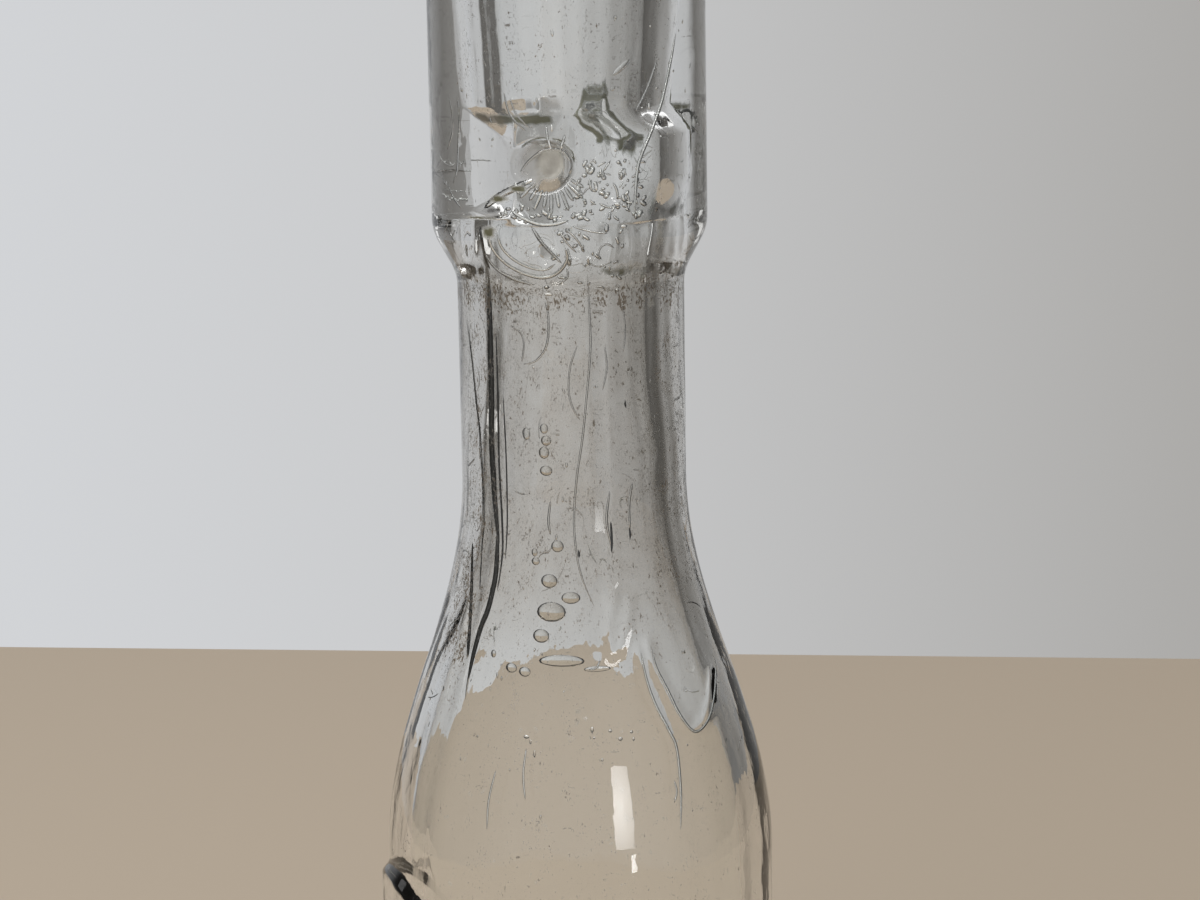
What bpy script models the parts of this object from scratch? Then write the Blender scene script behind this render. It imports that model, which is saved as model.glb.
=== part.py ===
"""A milk bottle of thick blown glass, with an applied collar, a pinched throat and a paper cap.

Units are metres and +Z is up. The origin is the centre of the ring that the bottle stands on.
Azimuths are in degrees round the bottle: 0 is the front (-Y) and 90 is the left side (-X).
"""

import math

import bmesh
import bpy
from mathutils import Matrix, Vector

# Radii of the outside, each worked out from the cap that the mouth takes
CAP_RADIUS = 0.02065
CAP_CLEARANCE = 0.00035
LIP_WALL = 0.0062
COLLAR_THICKNESS = 0.0047
BODY_RADIUS = 0.0393

# Heights of the outside's stretches, from the bottom up
BODY_HEIGHT = 0.093
SHOULDER_HEIGHT = 0.078
NECK_HEIGHT = 0.038
COLLAR_STEP_HEIGHT = 0.013
COLLAR_BAND_HEIGHT = 0.063

# Base
HEEL_RADIUS = 0.0060
RESTING_RING_WIDTH = 0.0055
PUSH_UP_HEIGHT = 0.0050
BASE_THICKNESS = 0.0080
INNER_HEEL_RADIUS = 0.0090
FLOOR_DOME_SHARE = 0.75

# Inside of the body and neck
BODY_WALL = 0.0055
NECK_BORE_RADIUS = 0.0152
BORE_TAPER_HEIGHT = 0.0300

# Pinched throat, and the cup-shaped bore above it
THROAT_RADIUS = 0.0070
THROAT_LENGTH = 0.0055
THROAT_ABOVE_COLLAR_FOOT = 0.0253
THROAT_FUNNEL_BELOW = 0.0065
THROAT_FUNNEL_ABOVE = 0.0045
CUP_RADIUS = 0.0150
CUP_TOP_RADIUS = 0.0170

# Mouth
CAP_SEAT_DEPTH = 0.0060
CAP_LEDGE_WIDTH = 0.0030
CAP_LEDGE_THICKNESS = 0.0067
MOUTH_FUNNEL_DEPTH = 0.0130
LIP_OUTER_ROUND = 0.0036
LIP_INNER_ROUND = 0.0015
COLLAR_EDGE_THICKNESS = 0.0005

# Dimples pressed through the collar, on opposite sides
DIMPLE_HALF_WIDTH = 0.0044
DIMPLE_HALF_HEIGHT = 0.0046
DIMPLE_DEPTH = 0.0080
FRONT_DIMPLE_AZIMUTH = 9.0
FRONT_DIMPLE_ABOVE_THROAT = 0.0014
REAR_DIMPLE_AZIMUTH = 192.0
REAR_DIMPLE_ABOVE_THROAT = 0.0052

# Plain round plate that stands proud of the body's left side
PLATE_RADIUS = 0.03175
PLATE_RISE = 0.0015
PLATE_AZIMUTH = 72.0
PLATE_BELOW_SHOULDER = 0.0008

# Paper cap
CAP_THICKNESS = 0.0012
CAP_EDGE_BEVEL = 0.00015
TAB_THICKNESS = 0.0005
TAB_WIDTH = 0.0120
TAB_LENGTH = 0.0185
TAB_ROOT_LENGTH = 0.0040
TAB_ROOT_CORNER = 0.0010
CREASE_Y = 0.0045
WIRE_RADIUS = 0.00035
STAPLE_INSET = 0.0015
STAPLE_CLINCH_SHARE = 0.78
STAPLE_BEND_RADIUS = 0.0005

# Space left between pieces that touch, and how far cutters reach past what they cut
GAP = 0.0003
OVERRUN = 0.0010
MERGE_DISTANCE = 0.00001

# Counts and angles of the meshes
TURN_STEPS = 48
EASE_STEPS = 10
ROUND_STEPS = 4
HOLE_SIDES = 12
DIMPLE_RINGS = 10
DIMPLE_SEGMENTS = 15
SMOOTH_ANGLE = 35.0

# Radii and heights worked out from the sizes above
CAP_SEAT_RADIUS = CAP_RADIUS + CAP_CLEARANCE
MOUTH_RADIUS = CAP_SEAT_RADIUS - CAP_LEDGE_WIDTH
COLLAR_RADIUS = CAP_SEAT_RADIUS + LIP_WALL
NECK_RADIUS = COLLAR_RADIUS - COLLAR_THICKNESS
COLLAR_INNER_RADIUS = NECK_RADIUS + GAP
INNER_RADIUS = BODY_RADIUS - BODY_WALL
RING_OUTER = BODY_RADIUS - HEEL_RADIUS
RING_INNER = RING_OUTER - RESTING_RING_WIDTH
SHOULDER_TOP = BODY_HEIGHT + SHOULDER_HEIGHT
COLLAR_FOOT = SHOULDER_TOP + NECK_HEIGHT
COLLAR_STEP_TOP = COLLAR_FOOT + COLLAR_STEP_HEIGHT
BOTTLE_HEIGHT = COLLAR_STEP_TOP + COLLAR_BAND_HEIGHT
LEDGE_HEIGHT = BOTTLE_HEIGHT - CAP_SEAT_DEPTH
FUNNEL_FOOT = LEDGE_HEIGHT - MOUTH_FUNNEL_DEPTH
STEP_IN_COLLAR = LEDGE_HEIGHT - CAP_LEDGE_THICKNESS
TUBE_TOP = STEP_IN_COLLAR - GAP
THROAT_HEIGHT = COLLAR_FOOT + THROAT_ABOVE_COLLAR_FOOT
THROAT_FOOT = THROAT_HEIGHT - THROAT_LENGTH / 2
THROAT_TOP = THROAT_HEIGHT + THROAT_LENGTH / 2
CAP_BOTTOM = LEDGE_HEIGHT + GAP
CAP_MIDDLE = CAP_BOTTOM + CAP_THICKNESS / 2
TAB_BOTTOM = CAP_BOTTOM + CAP_THICKNESS + GAP
TAB_MIDDLE = TAB_BOTTOM + TAB_THICKNESS / 2
TAB_TOP = TAB_BOTTOM + TAB_THICKNESS
STAPLE_HALF_WIDTH = TAB_WIDTH / 2 - STAPLE_INSET
STAPLE_Y = CREASE_Y + GAP / 2 + TAB_ROOT_LENGTH / 2
LEG_HOLE_RADIUS = WIRE_RADIUS + GAP


def clear_scene():
    for old in list(bpy.data.objects):
        bpy.data.objects.remove(old, do_unlink=True)


def make_collection(name):
    collection = bpy.data.collections.new(name)
    bpy.context.scene.collection.children.link(collection)
    return collection


def make_material(name, colour, roughness, metallic=0.0, transmission=0.0):
    material = bpy.data.materials.new(name)
    material.use_nodes = True
    shader = material.node_tree.nodes["Principled BSDF"]
    shader.inputs["Base Color"].default_value = (*colour, 1.0)
    shader.inputs["Roughness"].default_value = roughness
    shader.inputs["Metallic"].default_value = metallic
    shader.inputs["Transmission Weight"].default_value = transmission
    return material


def around(azimuth):
    """The level direction that points away from the bottle at an azimuth."""
    turn = math.radians(azimuth)
    return Vector((-math.sin(turn), -math.cos(turn), 0))


def eased(start, end, steps=EASE_STEPS):
    """Points from start to end, as (radius, height), that leave and arrive upright."""
    points = []
    for i in range(steps + 1):
        share = i / steps
        ease = (1 - math.cos(math.pi * share)) / 2
        radius = start[0] + (end[0] - start[0]) * ease
        points.append((radius, start[1] + (end[1] - start[1]) * share))
    return points


def quarter(centre, radius, start, steps=ROUND_STEPS):
    """A quarter of a circle from an angle in degrees, turning clockwise."""
    points = []
    for i in range(steps + 1):
        angle = math.radians(start - 90 * i / steps)
        points.append((centre[0] + radius * math.cos(angle), centre[1] + radius * math.sin(angle)))
    return points


def dome(rim, rise, steps=ROUND_STEPS):
    """Points from a rim, as (radius, height), in to the axis over a shallow dome."""
    points = []
    for i in range(steps + 1):
        share = i / steps
        points.append((rim[0] * (1 - share), rim[1] + rise * math.sin(math.pi / 2 * share)))
    return points


def funnel_radius(height):
    """The radius of the mouth's funnel, which opens from the cup's top to the ledge."""
    share = (height - FUNNEL_FOOT) / MOUTH_FUNNEL_DEPTH
    return CUP_TOP_RADIUS + (MOUTH_RADIUS - CUP_TOP_RADIUS) * share


def move_to(piece, collection):
    for other in list(piece.users_collection):
        other.objects.unlink(piece)
    collection.objects.link(piece)


def mark_as_cutter(piece):
    piece.hide_render = True
    piece.display_type = "WIRE"


def combine(piece, other, operation):
    boolean = piece.modifiers.new(other.name, "BOOLEAN")
    boolean.object = other
    boolean.operation = operation


def smooth(piece):
    """Rounds the shading of a turned piece and keeps its real edges."""
    piece.data.shade_smooth()
    piece.data.set_sharp_from_angle(angle=math.radians(SMOOTH_ANGLE))


def turned(name, profile, closed, collection):
    """A solid of revolution round Z from a profile of (radius, height) points."""
    mesh = bpy.data.meshes.new(name)
    edges = [(i, i + 1) for i in range(len(profile) - 1)]
    if closed:
        edges.append((len(profile) - 1, 0))
    mesh.from_pydata([(radius, 0, height) for radius, height in profile], edges, [])
    piece = bpy.data.objects.new(name, mesh)
    collection.objects.link(piece)
    screw = piece.modifiers.new("turn", "SCREW")
    screw.axis = "Z"
    screw.steps = TURN_STEPS
    screw.render_steps = TURN_STEPS
    screw.use_merge_vertices = True
    screw.merge_threshold = MERGE_DISTANCE
    return piece


def cylinder(name, radius, depth, sides, collection):
    bpy.ops.mesh.primitive_cylinder_add(vertices=sides, radius=radius, depth=depth)
    piece = bpy.context.object
    piece.name = name
    move_to(piece, collection)
    return piece


def dimple(name, azimuth, above_throat, cutters):
    """An egg-shaped cutter centred on the collar's outside."""
    mesh = bpy.data.meshes.new(name)
    form = bmesh.new()
    bmesh.ops.create_uvsphere(
        form, u_segments=DIMPLE_SEGMENTS, v_segments=DIMPLE_RINGS, radius=1
    )
    egg = Matrix.Diagonal((DIMPLE_HALF_WIDTH, DIMPLE_DEPTH, DIMPLE_HALF_HEIGHT, 1))
    bmesh.ops.transform(form, matrix=egg, verts=form.verts)
    form.to_mesh(mesh)
    form.free()
    cutter = bpy.data.objects.new(name, mesh)
    cutters.objects.link(cutter)
    cutter.location = around(azimuth) * COLLAR_RADIUS
    cutter.location.z = THROAT_HEIGHT + above_throat
    cutter.rotation_euler.z = -math.radians(azimuth)
    mark_as_cutter(cutter)
    return cutter


def round_plate(cutters):
    """The raised plate: a curved sheet that starts inside the wall, trimmed to a circle."""
    centre_height = BODY_HEIGHT - PLATE_BELOW_SHOULDER - PLATE_RADIUS
    top = centre_height + PLATE_RADIUS + OVERRUN
    bottom = centre_height - PLATE_RADIUS - OVERRUN
    outer = BODY_RADIUS + PLATE_RISE
    inner = BODY_RADIUS - BODY_WALL / 2
    profile = [(outer, top), (outer, bottom), (inner, bottom), (inner, top)]
    sheet = turned("plate_sheet", profile, True, cutters)
    mark_as_cutter(sheet)
    trimmer = cylinder("plate_circle", PLATE_RADIUS, BODY_RADIUS * 2, TURN_STEPS, cutters)
    outward = around(PLATE_AZIMUTH)
    trimmer.location = outward * BODY_RADIUS
    trimmer.location.z = centre_height
    trimmer.rotation_euler = outward.to_track_quat("Z", "Y").to_euler()
    mark_as_cutter(trimmer)
    combine(sheet, trimmer, "INTERSECT")
    return sheet


def bottle_body(parts, cutters, dimples):
    """Base, body, shoulder, neck and the neck tube that runs up inside the collar."""
    inner_heel = (INNER_RADIUS - INNER_HEEL_RADIUS, BASE_THICKNESS + INNER_HEEL_RADIUS)
    inner_foot = (INNER_RADIUS, BODY_HEIGHT)
    inner_top = (NECK_RADIUS - BODY_WALL, SHOULDER_TOP)
    bore_foot = (NECK_BORE_RADIUS, SHOULDER_TOP + BORE_TAPER_HEIGHT)
    bore_top = (NECK_BORE_RADIUS, THROAT_FOOT - THROAT_FUNNEL_BELOW)
    cup_foot = (CUP_RADIUS, THROAT_TOP + THROAT_FUNNEL_ABOVE)
    floor = dome((inner_heel[0], BASE_THICKNESS), PUSH_UP_HEIGHT * FLOOR_DOME_SHARE)[1:]
    inside = floor[::-1] + quarter(inner_heel, INNER_HEEL_RADIUS, 0)[::-1]
    inside += eased(inner_foot, inner_top)
    inside += eased(inner_top, bore_foot)[1:]
    inside += eased(bore_top, (THROAT_RADIUS, THROAT_FOOT))
    inside += eased((THROAT_RADIUS, THROAT_TOP), cup_foot)
    inside += [(CUP_TOP_RADIUS, FUNNEL_FOOT), (funnel_radius(TUBE_TOP), TUBE_TOP)]
    outside = [(NECK_RADIUS, TUBE_TOP)]
    outside += eased((NECK_RADIUS, SHOULDER_TOP), (BODY_RADIUS, BODY_HEIGHT))
    outside += quarter((RING_OUTER, HEEL_RADIUS), HEEL_RADIUS, 0)
    outside += dome((RING_INNER, 0), PUSH_UP_HEIGHT)
    piece = turned("bottle_body", inside + outside, False, parts)
    combine(piece, round_plate(cutters), "UNION")
    for cutter in dimples:
        combine(piece, cutter, "DIFFERENCE")
    piece.data.materials.append(make_material("clear_glass", (0.90, 0.93, 0.91), 0.03, 0, 1))
    smooth(piece)


def applied_collar(parts, dimples):
    """The band of glass round the neck tube, with the lip and the ledge that the cap lies on."""
    outer_round = (COLLAR_RADIUS - LIP_OUTER_ROUND, BOTTLE_HEIGHT - LIP_OUTER_ROUND)
    inner_round = (CAP_SEAT_RADIUS + LIP_INNER_ROUND, BOTTLE_HEIGHT - LIP_INNER_ROUND)
    edge = (COLLAR_INNER_RADIUS + COLLAR_EDGE_THICKNESS, COLLAR_FOOT)
    profile = quarter(outer_round, LIP_OUTER_ROUND, 90)
    profile += eased((COLLAR_RADIUS, COLLAR_STEP_TOP), edge)
    profile += [(COLLAR_INNER_RADIUS, COLLAR_FOOT), (COLLAR_INNER_RADIUS, STEP_IN_COLLAR)]
    profile += [(funnel_radius(STEP_IN_COLLAR), STEP_IN_COLLAR), (MOUTH_RADIUS, LEDGE_HEIGHT)]
    profile += [(CAP_SEAT_RADIUS, LEDGE_HEIGHT)]
    profile += quarter(inner_round, LIP_INNER_ROUND, 180)
    piece = turned("applied_collar", profile, True, parts)
    for cutter in dimples:
        combine(piece, cutter, "DIFFERENCE")
    piece.data.materials.append(make_material("collar_glass", (0.90, 0.92, 0.90), 0.03, 0, 1))
    smooth(piece)


def cap_disc(parts, cutters):
    """The waxed-paper disc, with a hole for each leg of the staple."""
    piece = cylinder("cap_disc", CAP_RADIUS, CAP_THICKNESS, TURN_STEPS, parts)
    piece.location.z = CAP_MIDDLE
    bevel = piece.modifiers.new("edge", "BEVEL")
    bevel.width = CAP_EDGE_BEVEL
    bevel.segments = 1
    for side in (-1, 1):
        name = "left_leg_hole" if side < 0 else "right_leg_hole"
        cutter = cylinder(name, LEG_HOLE_RADIUS, CAP_THICKNESS + OVERRUN, HOLE_SIDES, cutters)
        cutter.location = (side * STAPLE_HALF_WIDTH, STAPLE_Y, CAP_MIDDLE)
        mark_as_cutter(cutter)
        combine(piece, cutter, "DIFFERENCE")
    piece.data.materials.append(make_material("waxed_paper", (0.84, 0.79, 0.68), 0.45))
    smooth(piece)


def paper_tongue(name, outlines, parts):
    """A flat piece of tab paper: the first outline is its edge and the others are holes."""
    curve = bpy.data.curves.new(name, "CURVE")
    curve.dimensions = "2D"
    curve.fill_mode = "BOTH"
    curve.extrude = TAB_THICKNESS / 2
    for outline in outlines:
        spline = curve.splines.new("POLY")
        spline.points.add(len(outline) - 1)
        for point, (x, y) in zip(spline.points, outline):
            point.co = (x, y, 0, 1)
        spline.use_cyclic_u = True
    curve.materials.append(make_material(f"{name}_paper", (0.80, 0.72, 0.58), 0.60))
    piece = bpy.data.objects.new(name, curve)
    parts.objects.link(piece)
    return piece


def leg_hole(side):
    """The outline of the root's hole for one leg, measured from the crease."""
    turns = [2 * math.pi * i / HOLE_SIDES for i in range(HOLE_SIDES)]
    x = side * STAPLE_HALF_WIDTH
    y = STAPLE_Y - CREASE_Y
    return [(x + LEG_HOLE_RADIUS * math.cos(t), y + LEG_HOLE_RADIUS * math.sin(t)) for t in turns]


def tab_root(parts):
    """The stapled end of the tab, which stays on the disc behind the crease."""
    near = GAP / 2
    far = near + TAB_ROOT_LENGTH
    half = TAB_WIDTH / 2
    corner = (half - TAB_ROOT_CORNER, far - TAB_ROOT_CORNER)
    outline = [(-half, near), (half, near), (half, corner[1]), (corner[0], far)]
    outline += [(-corner[0], far), (-half, corner[1])]
    piece = paper_tongue("tab_root", [outline, leg_hole(-1), leg_hole(1)], parts)
    piece.location = (0, CREASE_Y, TAB_MIDDLE)


def cap_pull_tab(parts):
    """The free tongue of the tab, carried by an empty on the crease that it folds at."""
    near = -GAP / 2
    half = TAB_WIDTH / 2
    tip_centre = (0, half - TAB_LENGTH)
    outline = [(-half, near), (half, near)]
    outline += quarter(tip_centre, half, 0)
    outline += quarter(tip_centre, half, -90)[1:]
    crease = bpy.data.objects.new("tab_crease", None)
    parts.objects.link(crease)
    crease.location = (0, CREASE_Y, TAB_TOP)
    piece = paper_tongue("cap_pull_tab", [outline], parts)
    piece.parent = crease
    piece.location.z = -TAB_THICKNESS / 2


def tab_staple(parts):
    """One wire: crown over the tab, legs down through the disc, ends clinched inwards under it."""
    crown = TAB_TOP + GAP + WIRE_RADIUS
    clinch = CAP_BOTTOM - GAP - WIRE_RADIUS
    half = STAPLE_HALF_WIDTH
    bend = STAPLE_BEND_RADIUS
    end = half * (1 - STAPLE_CLINCH_SHARE)
    right = [(half - bend, crown), (half, crown - bend), (half, clinch + bend)]
    right += [(half - bend, clinch), (end, clinch)]
    left = [(-x, z) for x, z in right]
    route = left[::-1] + right
    curve = bpy.data.curves.new("tab_staple", "CURVE")
    curve.dimensions = "3D"
    curve.bevel_depth = WIRE_RADIUS
    curve.bevel_resolution = 1
    curve.use_fill_caps = True
    spline = curve.splines.new("POLY")
    spline.points.add(len(route) - 1)
    for point, (x, z) in zip(spline.points, route):
        point.co = (x, STAPLE_Y, z, 1)
    curve.materials.append(make_material("steel_wire", (0.62, 0.62, 0.60), 0.30, 1))
    parts.objects.link(bpy.data.objects.new("tab_staple", curve))


def main():
    clear_scene()
    parts = make_collection("milk_bottle")
    cutters = make_collection("cutters")
    dimples = [
        dimple("front_dimple", FRONT_DIMPLE_AZIMUTH, FRONT_DIMPLE_ABOVE_THROAT, cutters),
        dimple("rear_dimple", REAR_DIMPLE_AZIMUTH, REAR_DIMPLE_ABOVE_THROAT, cutters),
    ]
    bottle_body(parts, cutters, dimples)
    applied_collar(parts, dimples)
    cap_disc(parts, cutters)
    tab_root(parts)
    cap_pull_tab(parts)
    tab_staple(parts)


main()
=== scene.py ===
import math
import random
from collections import namedtuple

import bpy
import numpy as np
from mathutils import Matrix, Vector

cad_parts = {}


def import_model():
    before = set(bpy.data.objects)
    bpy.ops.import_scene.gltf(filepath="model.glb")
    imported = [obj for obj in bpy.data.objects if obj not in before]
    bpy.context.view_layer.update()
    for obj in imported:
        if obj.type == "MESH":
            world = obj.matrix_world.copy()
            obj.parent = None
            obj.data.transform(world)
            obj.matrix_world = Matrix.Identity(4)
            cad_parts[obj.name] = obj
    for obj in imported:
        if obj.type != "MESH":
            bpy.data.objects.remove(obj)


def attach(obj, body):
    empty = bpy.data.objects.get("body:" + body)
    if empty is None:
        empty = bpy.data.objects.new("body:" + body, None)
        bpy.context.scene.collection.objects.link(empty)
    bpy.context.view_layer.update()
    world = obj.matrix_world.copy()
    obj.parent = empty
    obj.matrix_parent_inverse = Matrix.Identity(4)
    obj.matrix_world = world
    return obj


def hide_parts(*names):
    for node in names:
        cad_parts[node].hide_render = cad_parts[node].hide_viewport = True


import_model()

# Lengths are in metres. Azimuths run round the bottle: 0 is the front (-Y) and 90 is the left (-X)

# The photograph, and the camera that took it: it looks down a little, from 0.6 m away
PHOTO_WIDTH = 1200
PHOTO_HEIGHT = 900
FOCAL_PIXELS = 3000
CAMERA_DISTANCE = 0.6
CAMERA_TILT = 11.0
CAMERA_ROLL = 0.9
SENSOR_WIDTH = 36
NEAR_CLIP = 0.01
AIM_HEIGHT = 0.175
AXIS_X_PX = 573.8
PIXEL = CAMERA_DISTANCE / FOCAL_PIXELS

# The glass: the sizes that it shares with its solids
CAP_SEAT_RADIUS = 0.0210
MOUTH_RADIUS = 0.0180
COLLAR_RADIUS = 0.0272
NECK_RADIUS = 0.0225
BODY_RADIUS = 0.0393
BODY_WALL = 0.0055
BODY_HEIGHT = 0.093
SHOULDER_TOP = 0.171
COLLAR_FOOT = 0.209
COLLAR_STEP_TOP = 0.222
BOTTLE_HEIGHT = 0.285
LEDGE_HEIGHT = 0.279
FUNNEL_FOOT = 0.266
HEEL_RADIUS = 0.0060
RING_WIDTH = 0.0055
PUSH_UP_HEIGHT = 0.0050
BASE_THICKNESS = 0.0080
INNER_HEEL_RADIUS = 0.0090
INNER_FLOOR_RISE = 0.00375
NECK_BORE_RADIUS = 0.0152
LIP_OUTER_ROUND = 0.0036
LIP_INNER_ROUND = 0.0015
PLATE_RADIUS = 0.03175
PLATE_RISE = 0.0015
PLATE_AZIMUTH = 72.0
PLATE_HEIGHT = 0.06045
PLATE_EDGE = (PLATE_RADIUS - 0.0020, PLATE_RADIUS + 0.0004)

# The bore from the neck up to the cup, which follows what the photograph shows through the glass
BORE_TAPER_TOP = 0.195
BULB_FOOT = 0.2090
BULB_RADIUS = 0.0156
BORE_TOP = 0.2222
THROAT_WALL = 0.0087
THROAT_FOOT = 0.2306
THROAT_TOP = 0.2386
CUP_FOOT = 0.2442
CUP_RADIUS = 0.0137
CUP_TOP_RADIUS = 0.0150
LEDGE_CORNER = 0.0008

# The throat's flat left wall: its foot and top at the front end and at the rear end, then azimuths
THROAT_WALL_FRONT = (0.2300, 0.2368)
THROAT_WALL_REAR = (0.2236, 0.2430)
THROAT_FLAT = (36, 155)
THROAT_FLAT_FADE = (20, 40, 160, 172)
THROAT_REARWARD = (60, 150)

# The throat's outline beside its flat left wall, as azimuth and radius
THROAT_OUTLINE = [
    (0, 0.0122), (20, 0.0130), (36, 0.0148), (155, 0.0206), (159, 0.0172), (164, 0.0148),
    (172, 0.0130), (185, 0.0122), (205, 0.0124), (225, 0.0142), (245, 0.0160), (270, 0.0168),
    (300, 0.0166), (325, 0.0148), (345, 0.0130), (360, 0.0122),
]

# Dimples: where they are, their rims, and how far the bore bulges in behind them
Dimple = namedtuple("Dimple", "azimuth height depth half_width half_height bulge frost_share")
FRONT_DIMPLE = Dimple(10.0, 0.2346, 0.0080, 0.0056, 0.0050, 0.0000, 1.0)
REAR_DIMPLE = Dimple(205.0, 0.2392, 0.0045, 0.0052, 0.0056, 0.0012, 0.20)
DIMPLE_WALL_SHARES = (0.55, 1.08)
DIMPLE_FLOOR_SHARES = (0.60, 0.72)
DIMPLE_LOBE_SHARES = (0.85, 1.0)
LOBE_FROST_SHARE = 0.60
LOBE_TURN = 4
STEP_REACH = 0.004
BULGE_RADII = (0.010, 0.012)

# The crust of old dirt on the throat's rear wall: azimuth, height, half width and half height
REAR_CRUST = (207.0, 0.2400, 0.0054, 0.0047)
CRUST_RADIUS = 0.0130

# The glass mesh: points round a ring, and where the collar's rings begin to lie close
COLUMNS = 256
CLOSE_RINGS = 0.250
ON_AXIS = 1e-6

# Waves: depth or strength, seed, count, most turns round and most radians a metre along
OUTER_DENTS = (0.00004, 3, 8, 5, 60)
HAMMERING = (0.00006, 7, 12, 26, 480)
OUTER_STRIAE = (0.00001, 5, 10, 40, 25)
INNER_DENTS = (0.00012, 11, 8, 5, 60)
INNER_STRIAE = (0.00004, 13, 10, 30, 30)
CRINKLES = (0.00012, 19, 14, 26, 1800)
FOLD_WANDER = (2.0, 17, 5, 4, 200)
STAIN_GAPS = (1, 61, 6, 6, 90)
CRUST_EDGE = (0.16, 67, 6, 22, 1500)
CRUST_PATCHES = (1, 71, 8, 30, 1800)

# Folds pressed round the bore below the throat, and the power that blunts them
FOLD_DEPTH = 0.0004
FOLD_TURNS = 9.5
FOLD_BLUNTNESS = 0.6

# Limits between which something sets in, and those between which it ends again
NECK_UNEVENNESS = (0.10, 0.17)
HAMMERING_END = (0.13, 0.16)
EVEN_BASE = (0.002, 0.008)
EVEN_AXIS = (0.002, 0.012)
FOLD_ZONE = (0.216, 0.224, 0.2285, 0.2305)
OUTER_NECK_ZONE = (0.128, 0.152, 0.212, 0.222)
COLLAR_ZONE = (0.208, 0.222)
INNER_NECK_ZONE = (0.130, 0.158, 0.212, 0.224)
CUP_ZONE = (0.238, 0.246)

# Where dirt lies: middles and half widths. A side is in degrees, and its half width in radians
FOOT_DIRT = (0.2085, 0.0028)
SHOULDER_DIRT = (0.142, 0.016)
BULB_STAIN = (0.2145, 0.0022)
SETTLED_DIRT = (0.2424, 0.0011)
CORNER_STAIN = (0.2242, 0.0022)
LEFT_SIDE = (52, 0.35)
RIGHT_SIDE = (-50, 0.30)
SHOULDER_SIDE = (82, 0.55)
CORNER_SIDE = (278, 0.45)
RIM_STAIN_SHARES = (0.95, 0.30)
CRUST_RING_SHARES = (0.86, 0.20)
CRUST_FLOOR_SHARES = (0.50, 0.80)

# How much of each zone's film and dirt there is
OUTER_FILM = {"neck": 0.70, "collar": 0.18}
OUTER_DIRT = {"foot": 0.90, "left": 0.50, "right": 0.35, "shoulder": 0.60, "neck": 0.16, "collar": 0.10}
INNER_FILM = {"neck": 0.75, "cup": 0.20}
INNER_DIRT = {"neck_sides": 0.55, "neck": 0.30, "cup_sides": 0.30, "cup": 0.18}

# Colours, as linear red, green, blue and alpha. Tones are two that blend into each other
GLASS_TONES = ((0.985, 0.992, 0.985, 1), (0.76, 0.73, 0.685, 1))
DIMPLE_TONES = ((0.44, 0.40, 0.35, 1), (0.62, 0.575, 0.515, 1))
WAXED_TONES = ((0.84, 0.79, 0.68, 1), (0.68, 0.59, 0.43, 1))
TAB_TONES = ((0.80, 0.72, 0.58, 1), (0.62, 0.50, 0.34, 1))
STEEL_TONES = ((0.50, 0.50, 0.49, 1), (0.72, 0.72, 0.70, 1))
# The floor's pale tone, then the painted shadow that the glass shows under the bottle
FLOOR_AND_SHADOW_TONES = ((0.52, 0.43, 0.33, 1), (0.24, 0.19, 0.14, 1))
SPECK = (0.13, 0.10, 0.07, 1)
STAIN = (0.10, 0.095, 0.05, 1)
# Near-black in some folds: a painted dark reflection by the bore's edge down the neck's left, and dark
# marks elsewhere
MARKS_AND_DARK_REFLECTION = (0.020, 0.020, 0.018, 1)
GLINT = (0.95, 0.95, 0.93, 1)
GLASS_SHADOW = (0.93, 0.95, 0.94, 1)
FLECK = (0.33, 0.22, 0.12, 1)
RUST = (0.27, 0.15, 0.08, 1)

# The room's wall by compass direction, as the camera sees it and as it lights the glass:
# degrees to the right of straight behind the bottle, then grey and warmth
SEEN_WALL = [
    (-180, 0.50, 0), (-12, 0.66, -0.02), (-3, 0.60, -0.01), (4, 0.51, 0), (12, 0.40, 0.02),
    (100, 0.42, 0.02), (180, 0.50, 0),
]
LIT_WALL = [
    (-180, 0.62, 0), (-140, 0.62, 0), (-112, 0.36, 0), (-100, 0.36, 0.02), (-80, 0.11, 0.05),
    (-56, 0.09, 0.05), (-47, 0.50, -0.01), (-25, 0.57, -0.02), (-8, 0.58, -0.01), (0, 0.52, -0.01),
    (10, 0.42, 0), (20, 0.32, 0.01), (30, 0.26, 0.02), (42, 0.18, 0.03), (56, 0.09, 0.05),
    (78, 0.07, 0.05), (120, 0.42, 0), (142, 0.62, 0), (180, 0.62, 0),
]

# Lamps: azimuth, distance, height, width and length, the height they aim at, power, spread in
# degrees, and whether they are seen through glass. The first two make the window's glint
LAMPS = [
    ("low_window", -24.5, 0.19, 0.129, (0.038, 0.066), 0.103, 0.0030, 36, False),
    ("low_pane", -28.6, 0.19, 0.082, (0.010, 0.018), 0.103, 0.0003, 36, False),
    ("left_window", 114, 1.5, 0.50, (0.26, 0.44), 0.20, 0.30, 180, True),
    ("right_window", -112, 1.5, 0.55, (0.16, 0.44), 0.20, 0.22, 180, True),
    ("high_window", -29, 1.6, 0.86, (0.30, 0.12), 0.14, 0.9, 180, True),
    ("rear_top", 165, 0.8, 1.3, (0.7, 0.6), 0.20, 1.25, 180, True),
    ("soft_top", 40, 1.3, 1.5, (1.2, 1.2), 0.12, 25, 180, False),
]

# The floor: its left, right, front and back edge, its height and how far it is turned
FLOOR_EDGES = (-0.45, 0.45, -1.2, 0.50)
FLOOR_HEIGHT = -0.0002
FLOOR_TURN = -5.7
# Painted shadow under the bottle: full within the first distance, gone at the second
FLOOR_SHADOW_RADII = (0.045, 0.085)
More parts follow.
